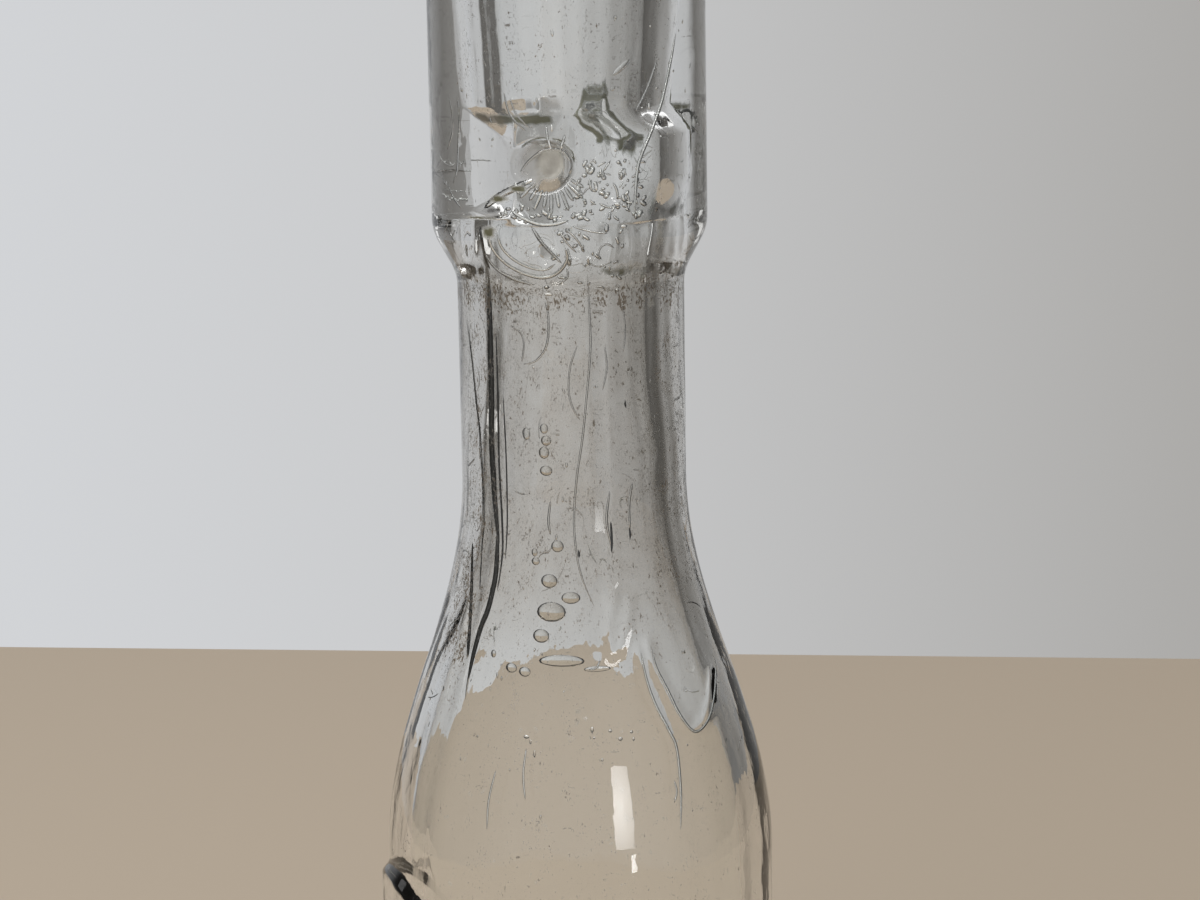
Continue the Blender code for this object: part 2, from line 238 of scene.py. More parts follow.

# Folds of air in the glass, in pixels of the photograph: half width, then the line's points.
# Bright ones glint. Dark ones are near-black: down the neck's left, by the bore's edge,
# they are a painted dark reflection, and elsewhere they are dark marks in the glass
NECK_LINES_PX = [
    (0.7, [(587, 272), (589, 310), (590, 350), (586, 400), (582, 440), (577, 475), (574, 520),
           (577, 556), (583, 581), (594, 607)]),
    (0.6, [(577, 345), (570, 368), (569, 392), (573, 408), (580, 420)]),
    (0.7, [(545, 300), (549, 318), (547, 345), (537, 360), (524, 364)]),
    (0.6, [(512, 325), (522, 333), (525, 345), (523, 362)]),
    (1.2, [(471, 318), (476, 360), (480, 403), (483, 430), (484, 452), (486, 480), (486, 519)]),
    (1.0, [(475, 600), (471, 630), (469, 660)]),
    (1.1, [(497, 585), (485, 622), (477, 650), (471, 675), (467, 700)]),
    (0.8, [(609, 490), (606, 520), (611, 548)]),
    (0.9, [(631, 482), (628, 505), (629, 530)]),
    (0.8, [(551, 500), (549, 520), (551, 535)]),
    (0.6, [(604, 345), (606, 368), (602, 390)]),
    (0.6, [(621, 300), (624, 330), (622, 352)]),
]
COLLAR_LINES_PX = [
    (0.9, [(655, 60), (648, 82), (641, 98), (634, 112)]),
    (0.7, [(505, 92), (510, 112), (519, 124), (527, 131)]),
    (0.6, [(511, 98), (516, 112), (524, 122), (531, 128)]),
    (1.0, [(461, 98), (462, 124), (461, 147), (460, 170), (456, 184)]),
    (0.8, [(452, 95), (455, 112), (456, 130), (451, 150)]),
    (0.7, [(451, 182), (456, 196), (464, 208)]),
    (2.3, [(531, 180), (518, 187), (505, 193), (495, 200), (486, 208)]),
    (1.4, [(483, 232), (486, 250), (497, 266), (514, 277), (535, 284)]),
    (1.2, [(532, 226), (541, 240), (553, 253), (562, 262)]),
    (0.6, [(537, 234), (546, 246), (557, 256)]),
    (0.7, [(566, 266), (568, 275), (559, 284)]),
    (0.7, [(598, 258), (599, 248), (606, 243), (614, 247)]),
    (0.6, [(589, 262), (598, 265), (612, 260)]),
    (0.9, [(520, 172), (530, 160), (545, 150), (562, 151), (572, 163)]),
    (0.8, [(695, 60), (700, 90), (703, 130), (700, 165)]),
]
BRIGHT_LINES_PX = [
    (1.3, [(673, 33), (668, 62), (660, 100), (650, 130), (640, 155), (636, 171), (634, 200),
           (634, 215)]),
    (1.3, [(512, 210), (522, 217), (539, 224), (555, 224), (569, 220)]),
    (1.5, [(489, 228), (493, 245), (505, 260), (523, 271), (543, 276), (558, 271), (567, 258),
           (565, 246)]),
    (1.2, [(498, 232), (503, 246), (515, 258), (531, 266), (546, 268), (556, 262)]),
    (0.7, [(560, 232), (568, 243), (577, 252)]),
    (0.7, [(566, 229), (576, 238), (584, 250)]),
    (0.7, [(572, 226), (590, 231), (607, 233)]),
    (0.8, [(546, 124), (548, 138), (551, 150)]),
    (0.9, [(565, 134), (563, 142), (561, 150)]),
    (1.0, [(516, 184), (518, 190), (521, 195)]),
    (0.8, [(589, 178), (590, 186), (592, 192)]),
    (0.8, [(602, 172), (606, 166), (610, 160)]),
    (0.9, [(612, 182), (616, 190), (617, 200)]),
    (0.8, [(598, 203), (608, 207), (618, 206)]),
    (0.8, [(624, 190), (628, 200), (627, 212)]),
    (1.2, [(440, 240), (442, 244), (447, 246)]),
]
LOBE_EDGE_PX = [
    (650, 645), (656, 668), (667, 690), (680, 716), (694, 732), (706, 722), (712, 700), (713, 672),
]
SHOULDER_LINES_PX = [
    (1.1, [(640, 652), (646, 680), (655, 705), (668, 730), (676, 749), (680, 790), (680, 830)]),
    (1.1, [*LOBE_EDGE_PX, (709, 654)]),
    (0.8, [(673, 780), (676, 792), (673, 803)]),
    (0.7, [(497, 770), (490, 800), (488, 830)]),
    (0.7, [(527, 748), (524, 775), (526, 800)]),
    (0.7, [(600, 660), (596, 668), (588, 670)]),
]
DARK_LINES_PX = [
    (2.6, [(491, 274), (492, 310), (493, 356), (494, 400), (494, 441), (496, 480), (498, 513),
           (501, 545)]),
    (2.2, [(500, 528), (498, 570), (494, 593), (489, 612), (483, 627), (476, 652), (470, 680)]),
    (0.9, [(498, 330), (500, 400), (501, 460), (504, 520), (504, 555), (499, 592)]),
    (0.6, [(505, 395), (508, 460), (509, 520), (507, 560)]),
    (0.7, [(473, 327), (478, 384), (484, 441), (487, 513), (486, 540)]),
    (1.9, [(476, 542), (475, 570), (474, 598), (472, 628), (470, 658)]),
    (0.7, [(486, 527), (484, 560), (482, 590)]),
    (0.8, [(610, 521), (611, 538), (611, 553)]),
    (0.7, [(628, 527), (629, 533), (629, 540)]),
    (0.7, [(578, 549), (579, 553), (579, 558)]),
    (0.7, [(624, 399), (624, 403), (625, 408)]),
    (1.3, [(482, 226), (484, 240), (487, 256), (492, 268)]),
]

# How deep in the wall the folds lie, and how much wider they are than they look there
AIR_DEPTH = 0.0014
FOLD_WIDENING = 1.5
FLAT_FOLD_SHARE = 0.6
FOLD_TIP_SHARE = 0.02

# Distance between the points of a fold
FOLD_STEP = 0.0006
PLEAT_STEP = 0.0004
CRINKLE_STEP = 0.0003

# Bubbles, then flat ones that glint: middle, half width and half height in pixels
BUBBLES_PX = [
    (528, 433, 4, 6), (545, 428, 4, 5), (547, 440, 5, 5), (545, 452, 5, 6), (547, 470, 6, 5),
    (558, 546, 6, 6), (536, 552, 3, 4), (537, 561, 4, 4), (550, 581, 8, 7), (571, 598, 9, 6),
    (552, 612, 14, 10), (542, 636, 8, 7), (496, 654, 3, 4), (513, 668, 6, 5), (526, 672, 6, 5),
    (562, 661, 22, 6), (597, 669, 13, 3),
]
SLANTED_PX = [(620, 67, 3, 11)]
BRIGHT_SPOTS_PX = [
    (592, 730, 1.6, 3.0), (594, 738, 1.2, 1.2), (610, 731, 1.8, 1.6), (620, 739, 2.2, 2.0),
    (631, 732, 1.6, 1.6), (633, 739, 1.2, 2.0), (602, 760, 1.4, 1.6), (527, 737, 2.8, 1.8),
    (531, 742, 1.2, 2.4), (535, 754, 1.2, 3.6), (648, 106, 1.8, 3.0), (552, 128, 1.2, 3.4),
    (516, 186, 1.6, 3.4), (448, 61, 1.2, 1.2), (447, 54, 1.0, 1.0), (649, 26, 1.2, 1.2),
    (655, 88, 1.4, 1.2), (617, 204, 3.0, 2.0), (606, 196, 2.2, 1.6), (623, 226, 3.2, 1.8),
    (596, 188, 1.6, 2.6), (615, 150, 1.6, 1.6), (549, 294, 4.0, 1.6), (641, 280, 2.6, 1.4),
    (534, 367, 1.2, 1.2),
]
BUBBLE_DEPTH = 0.0022
BRIGHT_SPOT_DEPTH = 0.0012
BUBBLE_SLANT = 0.9
FLAT_BUBBLE_SHARE = 0.25

# Seeds, the smallest bubbles: how many, the glass they need round them, and their ranges
SEED_COUNT = 260
SEED_WALL = 0.003
SEED_MARGINS = (0.0015, 0.0012)
SEED_HEIGHTS = (0.105, 0.262)
SEED_HALF_WIDTHS = (0.00008, 0.00026)
SEED_STRETCHES = (1.0, 3.2)
SEED_TILTS = (-0.4, 0.4)
SEED_GLINT = 0.8
SEED_GLINT_SHARE = 0.3

# Pleats that fan out below the front dimple. Turns are the first one and the next's, in degrees
PLEAT_CENTRE_PX = (552, 168)
PLEAT_REACHES_PX = (21, 28)
PLEAT_ENDS_PX = (36, 41)
PLEAT_HALF_WIDTH_PX = 1.9
PLEAT_COUNT = 11
PLEAT_TURNS = (28, 12.5)
PLEAT_FAN_STRETCH = 1.15

# Stains on the outside: middle, half width and half height in pixels, and strength
STAINS_PX = [
    (488, 232, 9, 8, 1.0), (478, 218, 26, 2.4, 0.9), (624, 267, 20, 7, 0.65),
    (661, 232, 6, 26, 0.65), (518, 189, 11, 3.5, 0.9), (499, 199, 11, 4, 0.9),
    (470, 300, 9, 13, 0.45), (655, 300, 12, 10, 0.4),
]

# Crinkles at the collar's foot: the left, top, right and bottom of a box of them, and how many.
# Reaches and widths are half lengths and half widths, here and below
CRINKLE_BOXES_PX = [(575, 160, 640, 222, 84), (545, 226, 620, 290, 36), (500, 205, 575, 222, 26)]
CRINKLE_REACHES_PX = (1.5, 5)
CRINKLE_WIDTHS_PX = (0.9, 2.7)
CRINKLE_DEPTHS = (0.0008, 0.0040)
CRINKLE_GLINTS = (0.7, 1.0)
CRINKLE_SHINY_SHARE = 0.6
BEND_SHARES = (-0.4, 0.4)

# Folds on the sides that the photograph doesn't show
SIDE_FOLD_COUNT = 170
SIDE_FOLD_AZIMUTHS = (55, 305)
FOOT_FOLD_HEIGHT = (0.222, 0.009)
AT_FOOT_SHARE = 0.7
SIDE_FOLD_HEIGHTS = (0.11, 0.255)
SIDE_FOLD_DEPTHS = (0.0009, 0.0025)
SIDE_FOLD_REACHES = (0.0008, 0.0040)
SIDE_FOLD_WIDTHS = (0.00008, 0.0002)
SIDE_FOLD_GLINTS = (0.0, 0.0, 0.6)
SIDE_FOLD_POINTS = 9

# Creases in the outside: depth and half width in metres, then the line's points in pixels
CREASE_LINES_PX = [
    (0.00035, 0.0007, [(440, 220), (470, 219), (490, 219), (508, 217)]),
    (0.0005, 0.0011, LOBE_EDGE_PX),
    (0.0004, 0.0012, [(640, 652), (655, 705), (676, 749), (680, 830)]),
    (0.0003, 0.0010, [(615, 590), (609, 625), (612, 655)]),
    (0.0003, 0.0010, [(632, 600), (628, 630), (622, 650)]),
    (0.0003, 0.0012, [(448, 600), (425, 660), (402, 728)]),
]

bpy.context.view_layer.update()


def new_object(name, data):
    piece = bpy.data.objects.new(name, data)
    bpy.context.scene.collection.objects.link(piece)
    return piece


def mix(a, b, share):
    return a + (b - a) * share


def smoothstep(low, high, value):
    share = np.clip((value - low) / (high - low), 0, 1)
    return share * share * (3 - 2 * share)


def falling(low, high, value):
    return 1 - smoothstep(low, high, value)


def between(limits, value):
    """0 outside the outer limits and 1 between the inner ones, with soft changes."""
    start, full, end, gone = limits
    return smoothstep(start, full, value) * falling(end, gone, value)


def bell(value, middle, half):
    """1 at the middle, falling to nearly 0 at two half widths from it."""
    return np.exp(-(((value - middle) / half) ** 2))


def eased(start, end, steps):
    share = np.linspace(0, 1, steps + 1)
    ease = (1 - np.cos(np.pi * share)) / 2
    return np.stack([mix(start[0], end[0], ease), mix(start[1], end[1], share)], axis=1)


def straight(start, end, steps):
    share = np.linspace(0, 1, steps + 1)[:, None]
    return np.array(start) + (np.array(end) - np.array(start)) * share


def quarter(centre, radius, start, steps):
    """A quarter of a circle from an angle in degrees, turning clockwise."""
    angle = np.radians(start - 90 * np.linspace(0, 1, steps + 1))
    return np.stack([centre[0] + radius * np.cos(angle), centre[1] + radius * np.sin(angle)], axis=1)


def dome(rim, rise, steps):
    share = np.linspace(0, 1, steps + 1)
    return np.stack([rim[0] * (1 - share), rim[1] + rise * np.sin(np.pi / 2 * share)], axis=1)


def chain(start, stretches):
    """Stretches, as (curve, radius, height, steps), that each begin where the one before ends."""
    found = []
    for curve, radius, height, steps in stretches:
        found.append(curve(start, (radius, height), steps))
        start = (radius, height)
    return found


def inner_profile():
    """The inside from the floor's centre up to the lip, as (radius, height)."""
    inner_radius = BODY_RADIUS - BODY_WALL
    heel = (inner_radius - INNER_HEEL_RADIUS, BASE_THICKNESS + INNER_HEEL_RADIUS)
    corner = (MOUTH_RADIUS + LEDGE_CORNER, LEDGE_HEIGHT - LEDGE_CORNER)
    lip_foot = BOTTLE_HEIGHT - LIP_INNER_ROUND
    return [
        dome((heel[0], BASE_THICKNESS), INNER_FLOOR_RISE, 12)[::-1],
        quarter(heel, INNER_HEEL_RADIUS, 0, 10)[::-1],
        *chain((inner_radius, heel[1]), [
            (straight, inner_radius, BODY_HEIGHT, 24),
            (eased, NECK_RADIUS - BODY_WALL, SHOULDER_TOP, 60),
            (eased, NECK_BORE_RADIUS, BORE_TAPER_TOP, 24),
            (straight, NECK_BORE_RADIUS, BULB_FOOT, 24),
            (eased, BULB_RADIUS, BORE_TOP, 30),
            (eased, THROAT_WALL, THROAT_FOOT, 36),
            (straight, THROAT_WALL, THROAT_TOP, 14),
            (eased, CUP_RADIUS, CUP_FOOT, 28),
            (straight, CUP_TOP_RADIUS, FUNNEL_FOOT, 34),
            (straight, MOUTH_RADIUS, corner[1], 14),
        ]),
        quarter(corner, LEDGE_CORNER, 180, 4),
        *chain((corner[0], LEDGE_HEIGHT), [
            (straight, CAP_SEAT_RADIUS, LEDGE_HEIGHT, 5),
            (straight, CAP_SEAT_RADIUS, lip_foot, 5),
        ]),
        quarter((CAP_SEAT_RADIUS + LIP_INNER_ROUND, lip_foot), LIP_INNER_ROUND, 180, 5),
    ]


def outer_profile():
    """The outside from the lip down to the base's centre, as (radius, height)."""
    ring_outer = BODY_RADIUS - HEEL_RADIUS
    ring_inner = ring_outer - RING_WIDTH
    lip = (COLLAR_RADIUS - LIP_OUTER_ROUND, BOTTLE_HEIGHT - LIP_OUTER_ROUND)
    return [
        quarter(lip, LIP_OUTER_ROUND, 90, 10),
        *chain((COLLAR_RADIUS, lip[1]), [
            (straight, COLLAR_RADIUS, CLOSE_RINGS, 30),
            (straight, COLLAR_RADIUS, COLLAR_STEP_TOP, 60),
            (eased, NECK_RADIUS, COLLAR_FOOT, 34),
            (straight, NECK_RADIUS, SHOULDER_TOP, 60),
            (eased, BODY_RADIUS, BODY_HEIGHT, 90),
            (straight, BODY_RADIUS, HEEL_RADIUS, 110),
        ]),
        quarter((ring_outer, HEEL_RADIUS), HEEL_RADIUS, 0, 10),
        straight((ring_outer, 0), (ring_inner, 0), 3),
        dome((ring_inner, 0), PUSH_UP_HEIGHT, 12),
    ]


def joined(stretches):
    """One run of points without the doubles where stretches meet."""
    return np.concatenate([stretches[0], *(stretch[1:] for stretch in stretches[1:])])


def waves(azimuth, height, kind, lift=0):
    """Smooth unevenness, mostly from -1 to 1 times its strength, that closes round the bottle."""
    strength, seed, count, most_round, most_along = kind
    draw = random.Random(seed)
    total = np.zeros(np.broadcast(azimuth, height).shape)
    for _ in range(count):
        turns = draw.randint(0, most_round)
        along = draw.uniform(-most_along, most_along)
        phase = draw.uniform(0, 2 * math.pi)
        total += np.sin(turns * azimuth + along * height + phase)
    return strength * (lift + total / math.sqrt(count))


OUTER_LINE = joined(outer_profile()[:7])
INNER_LINE = joined(inner_profile()[2:10])


def outer_radius_at(height):
    return np.interp(height, OUTER_LINE[::-1, 1], OUTER_LINE[::-1, 0])


def inner_radius_at(height):
    return np.interp(height, INNER_LINE[:, 1], INNER_LINE[:, 0])


def camera_turn():
    tilt = Matrix.Rotation(math.radians(90 - CAMERA_TILT), 3, "X")
    return tilt @ Matrix.Rotation(math.radians(-CAMERA_ROLL), 3, "Z")


def camera_place():
    tilt = math.radians(CAMERA_TILT)
    across = (PHOTO_WIDTH / 2 - AXIS_X_PX) * PIXEL
    back = CAMERA_DISTANCE * math.cos(tilt)
    return Vector((across, -back, AIM_HEIGHT + CAMERA_DISTANCE * math.sin(tilt)))


def photo_spot(x, y, depth=0.0):
    """Azimuth, height and radius of what the photo shows at pixel (x, y), a depth inside the front."""
    across = (x - PHOTO_WIDTH / 2) / FOCAL_PIXELS
    down = (y - PHOTO_HEIGHT / 2) / FOCAL_PIXELS
    ray = camera_turn() @ Vector((across, -down, -1))
    start = camera_place()
    flat = ray.xy.length_squared
    near = -start.xy.dot(ray.xy) / flat
    height = AIM_HEIGHT
    for _ in range(12):
        radius = outer_radius_at(height) - depth
        miss = (start.xy + ray.xy * near).length_squared
        half = math.sqrt(max(0.0, radius * radius - miss) / flat)
        point = start + ray * (near - half)
        height = point.z
    return math.atan2(-point.x, -point.y), height, point.xy.length


CREASES = [
    ([photo_spot(x, y)[:2] for x, y in line], depth, half_width)
    for depth, half_width, line in CREASE_LINES_PX
]


def wrapped(turn):
    """A turn in radians, from minus half to plus half a round."""
    return np.angle(np.exp(1j * turn))


def turn_from(azimuth, where):
    """Signed turn in radians from a direction in degrees."""
    return wrapped(azimuth - math.radians(where))


def side(azimuth, where, half):
    """1 in a direction in degrees, falling to nearly 0 at two half widths in radians from it."""
    return bell(turn_from(azimuth, where), 0, half)


def dimple_reach(azimuth, height, dimple):
    """Distance from a dimple's middle, as a share of its rim."""
    across = turn_from(azimuth, dimple.azimuth) * COLLAR_RADIUS / dimple.half_width
    return np.hypot(across, (height - dimple.height) / dimple.half_height)


def path_distance(azimuth, height, radius, path):
    """Distance along the surface to a line of (azimuth, height) points."""
    nearest = np.ones(azimuth.shape)
    for (a0, h0), (a1, h1) in zip(path, path[1:]):
        across, along = (a1 - a0) * radius, h1 - h0
        x = wrapped(azimuth - a0) * radius
        y = height - h0
        share = np.clip((x * across + y * along) / (across * across + along * along), 0, 1)
        nearest = np.minimum(nearest, np.hypot(x - share * across, y - share * along))
    return nearest


def outer_shape(radius, azimuth, height):
    """The outside's radius after the hand and the mould have left their marks."""
    full = radius
    dent = waves(azimuth, height, OUTER_DENTS, lift=2)
    hammered = waves(azimuth, height, HAMMERING, lift=2) * falling(*HAMMERING_END, height)
    striae = waves(azimuth, height, OUTER_STRIAE, lift=2)
    uneven = (dent + striae + hammered) * mix(0.5, 1.0, smoothstep(*NECK_UNEVENNESS, height))
    radius = radius - uneven * smoothstep(*EVEN_BASE, height)
    on_collar = np.abs(full - COLLAR_RADIUS) < STEP_REACH
    for dimple in (FRONT_DIMPLE, REAR_DIMPLE):
        reach = dimple_reach(azimuth, height, dimple)
        radius = radius - dimple.depth * falling(*DIMPLE_WALL_SHARES, reach) * on_collar
    for path, depth, half_width in CREASES:
        radius = radius - depth * bell(path_distance(azimuth, height, full, path), 0, half_width)
    turn = turn_from(azimuth, PLATE_AZIMUTH)
    reach = np.hypot(np.sin(turn) * BODY_RADIUS, height - PLATE_HEIGHT)
    return radius + PLATE_RISE * falling(*PLATE_EDGE, reach) * (np.cos(turn) > 0)


def throat_outline(azimuth):
    """The throat's radius: a flat left wall that reaches far to the rear, and a wide right side."""
    degrees = np.degrees(azimuth) % 360
    azimuths, radii = zip(*THROAT_OUTLINE)
    off_zero = 0.05
    flat = THROAT_WALL / np.maximum(np.sin(azimuth), off_zero)
    on_flat = (degrees > THROAT_FLAT[0]) & (degrees < THROAT_FLAT[1])
    return np.where(on_flat, flat, np.interp(degrees, azimuths, radii))


def inner_shape(radius, azimuth, height):
    """The bore's radius with the folds and crinkles that the pinching tool left."""
    dent = waves(azimuth, height, INNER_DENTS)
    striae = waves(azimuth, height, INNER_STRIAE)
    radius = radius + (dent + striae) * smoothstep(*EVEN_AXIS, radius)
    wander = waves(azimuth, height, FOLD_WANDER)
    folds = np.abs(np.sin(FOLD_TURNS * azimuth + wander)) ** FOLD_BLUNTNESS
    crinkle = waves(azimuth, height, CRINKLES)
    radius = radius - between(FOLD_ZONE, height) * (FOLD_DEPTH * folds + crinkle)
    # The pincers pushed the throat's left wall in, and left the other sides of the bore wide
    degrees = np.degrees(azimuth) % 360
    left = between(THROAT_FLAT_FADE, degrees)
    back = smoothstep(*THROAT_REARWARD, degrees)
    foot = mix(THROAT_FOOT, mix(THROAT_WALL_FRONT[0], THROAT_WALL_REAR[0], back), left)
    top = mix(THROAT_TOP, mix(THROAT_WALL_FRONT[1], THROAT_WALL_REAR[1], back), left)
    below = np.clip((height - BORE_TOP) / (foot - BORE_TOP), 0, 1)
    above = np.clip((CUP_FOOT - height) / (CUP_FOOT - top), 0, 1)
    pinch = (smoothstep(0, 1, below) + below) / 2 * (smoothstep(0, 1, above) + above) / 2
    around = np.interp(height, (BORE_TOP, CUP_FOOT), (BULB_RADIUS, CUP_RADIUS))
    radius = np.where(pinch > 0, mix(around, throat_outline(azimuth), pinch), radius)
    bulge = REAR_DIMPLE.bulge * bell(dimple_reach(azimuth, height, REAR_DIMPLE), 0, 1)
    return radius - bulge * smoothstep(*BULGE_RADII, radius)


def closed_tube(rings, sides):
    """Faces of a tube whose points are its tip, its rings and its other tip."""
    faces = []
    last = 1 + rings * sides
    for j in range(sides):
        k = (j + 1) % sides
        faces.append((0, 1 + k, 1 + j))
        for i in range(rings - 1):
            a, b = 1 + i * sides + j, 1 + i * sides + k
            faces.append((a, b, b + sides, a + sides))
        faces.append((last, last - sides + j, last - sides + k))
    return faces


def bubble(azimuth, height, radius, half_round, half_along, tilt, rings=7, sides=12):
    """An ellipsoid of air in the wall, as points and faces."""
    points = [(0, 0, 1)]
    for i in range(1, rings + 1):
        polar = math.pi * i / (rings + 1)
        wide, high = math.sin(polar), math.cos(polar)
        for j in range(sides):
            turn = 2 * math.pi * j / sides
            points.append((wide * math.cos(turn), wide * math.sin(turn), high))
    points.append((0, 0, -1))
    half_deep = min(half_round, half_along) * FLAT_BUBBLE_SHARE
    points = np.array(points) * (half_round, half_deep, half_along)
    cos, sin = math.cos(tilt), math.sin(tilt)
    points = points @ np.array([[cos, 0, -sin], [0, 1, 0], [sin, 0, cos]])
    cos, sin = math.cos(azimuth), math.sin(azimuth)
    x = -sin * (radius - points[:, 1]) + cos * points[:, 0]
    y = -cos * (radius - points[:, 1]) - sin * points[:, 0]
    return np.stack([x, y, points[:, 2] + height], axis=1), closed_tube(rings, sides)


def along(points, step):
    """Points of a smooth curve through given pixels, about a step apart."""
    points = [Vector(point) for point in points]
    points = [points[0] * 2 - points[1], *points, points[-1] * 2 - points[-2]]
    found = []
    for a, b, c, d in zip(points, points[1:], points[2:], points[3:]):
        count = max(1, round((c - b).length * PIXEL / step))
        for i in range(count):
            t = i / count
            doubled = 2 * b + (c - a) * t
            doubled += (2 * a - 5 * b + 4 * c - d) * t**2
            doubled += (3 * b - a - 3 * c + d) * t**3
            found.append(doubled / 2)
    return found + [points[-2]]


def on_glass(azimuth, height, radius):
    return np.array((-math.sin(azimuth) * radius, -math.cos(azimuth) * radius, height))


def thread(places, half_width, sides=6):
    """A thin fold of air along places inside the wall, which thins out to its ends."""
    places = np.array(places)
    ahead = np.gradient(places, axis=0)
    ahead /= np.linalg.norm(ahead, axis=1)[:, None]
    outward = places * (1, 1, 0)
    outward /= np.linalg.norm(outward, axis=1)[:, None]
    sideways = np.cross(ahead, outward)
    share = np.linspace(0, 1, len(places))
    width = half_width * np.sqrt(np.clip(1 - (2 * share - 1) ** 4, FOLD_TIP_SHARE, 1))
    points = [places[0]]
    for place, across, out, half in zip(places[1:-1], sideways[1:-1], outward[1:-1], width[1:-1]):
        for j in range(sides):
            turn = 2 * math.pi * j / sides
            deep = out * half * FLAT_FOLD_SHARE * math.sin(turn)
            points.append(place + across * half * math.cos(turn) + deep)
    points.append(places[-1])
    return np.array(points), closed_tube(len(places) - 2, sides)


def turned_to_air(points, faces):
    """The faces of a hollow, turned so that they look into its air."""
    volume = 0
    middle = points.mean(axis=0)
    for face in faces:
        first, *others = points[list(face)] - middle
        for a, b in zip(others, others[1:]):
            volume += np.dot(first, np.cross(a, b))
    return faces if volume < 0 else [face[::-1] for face in faces]


def glass_mesh():
    """Rings of points down the inside and up the outside, their faces, and each ring's wear."""
    azimuth = np.linspace(0, 2 * np.pi, COLUMNS, endpoint=False)
    verts, rows, wear = [], [], []
    total = 0
    for profile, shape, worn in (
        (joined(inner_profile()), inner_shape, inner_wear),
        (joined(outer_profile()), outer_shape, outer_wear),
    ):
        for radius, height in profile:
            if radius < ON_AXIS:
                verts.append(np.array([[0, 0, height]]))
                wear.append(np.zeros((len(WEAR_NAMES), 1)))
            else:
                level = np.full(COLUMNS, height)
                r = shape(np.full(COLUMNS, radius), azimuth, level)
                verts.append(np.stack([-np.sin(azimuth) * r, -np.cos(azimuth) * r, level], axis=1))
                wear.append(np.stack(worn(azimuth, level, r)))
            rows.append((total, len(verts[-1])))
            total += len(verts[-1])
    # A ring on the axis is one point, so faces that meet it are triangles
    faces = []
    for (a, a_count), (b, b_count) in zip(rows, rows[1:]):
        for j in range(COLUMNS):
            k = (j + 1) % COLUMNS
            corners = (a + j % a_count, a + k % a_count, b + k % b_count, b + j % b_count)
            faces.append(tuple(dict.fromkeys(corners)))
    return np.concatenate(verts), faces, np.concatenate(wear, axis=1)


def bubbles():
    """The bubbles that the photograph shows, then seeds all round, each with its glint."""
    found = []
    for spots, depth, tilt, glint in (
        (BUBBLES_PX, BUBBLE_DEPTH, 0, 0), (SLANTED_PX, BUBBLE_DEPTH, BUBBLE_SLANT, 0),
        (BRIGHT_SPOTS_PX, BRIGHT_SPOT_DEPTH, 0, 1),
    ):
        for x, y, half_x, half_y in spots:
            place = photo_spot(x, y, depth)
            found.append((*bubble(*place, half_x * PIXEL, half_y * PIXEL, tilt), glint))
    draw = random.Random(29)
    for _ in range(SEED_COUNT):
        height = draw.uniform(*SEED_HEIGHTS)
        outer, inner = outer_radius_at(height), inner_radius_at(height)
        if outer - inner < SEED_WALL:
            continue
        size = draw.uniform(*SEED_HALF_WIDTHS)
        azimuth = draw.uniform(-math.pi, math.pi)
        radius = draw.uniform(inner + SEED_MARGINS[0], outer - SEED_MARGINS[1])
        length = size * draw.uniform(*SEED_STRETCHES)
        seed = bubble(azimuth, height, radius, size, length, draw.uniform(*SEED_TILTS), 4, 7)
        found.append((*seed, SEED_GLINT if draw.random() < SEED_GLINT_SHARE else 0.0))
    return found


def fold(line, half_width, glint, depth=AIR_DEPTH, step=FOLD_STEP):
    """A fold along a line of pixels, with its half width in pixels too."""
    places = [on_glass(*photo_spot(x, y, depth)) for x, y in along(line, step)]
    return *thread(places, half_width * PIXEL), glint


def long_folds():
    """The folds that the photograph shows one by one. A glint below 0 makes the fold near-black:
    a painted dark reflection by the bore's edge down the neck's left, and a dark mark elsewhere.
    """
    found = []
    for lines, glint in (
        (NECK_LINES_PX, 0), (COLLAR_LINES_PX, 0), (SHOULDER_LINES_PX, 0.15),
        (BRIGHT_LINES_PX, 0.65), (DARK_LINES_PX, -1),
    ):
        found += [fold(line, half_width * FOLD_WIDENING, glint) for half_width, line in lines]
    return found


def pleats():
    """Every other pleat is longer, and one in three glints."""
    found = []
    x, y = PLEAT_CENTRE_PX
    for i in range(PLEAT_COUNT):
        reaches = (*PLEAT_REACHES_PX, PLEAT_ENDS_PX[i % 2])
        turn = math.radians(PLEAT_TURNS[0] + PLEAT_TURNS[1] * i)
        line = [
            (x + reach * math.cos(turn), y + reach * PLEAT_FAN_STRETCH * math.sin(turn))
            for reach in reaches
        ]
        found.append(fold(line, PLEAT_HALF_WIDTH_PX, 0.6 if i % 3 == 1 else 0.0, step=PLEAT_STEP))
    return found


def crinkles(draw):
    found = []
    for left, top, right, bottom, count in CRINKLE_BOXES_PX:
        for _ in range(count):
            x, y = draw.uniform(left, right), draw.uniform(top, bottom)
            turn = draw.uniform(0, math.pi)
            length = draw.uniform(*CRINKLE_REACHES_PX)
            bend = draw.uniform(*BEND_SHARES) * length
            cos, sin = math.cos(turn), math.sin(turn)
            line = [
                (x - length * cos, y - length * sin), (x - bend * sin, y + bend * cos),
                (x + length * cos, y + length * sin),
            ]
            depth = draw.uniform(*CRINKLE_DEPTHS)
            glint = draw.uniform(*CRINKLE_GLINTS) if draw.random() < CRINKLE_SHINY_SHARE else 0.0
            found.append(fold(line, draw.uniform(*CRINKLE_WIDTHS_PX), glint, depth, CRINKLE_STEP))
    return found


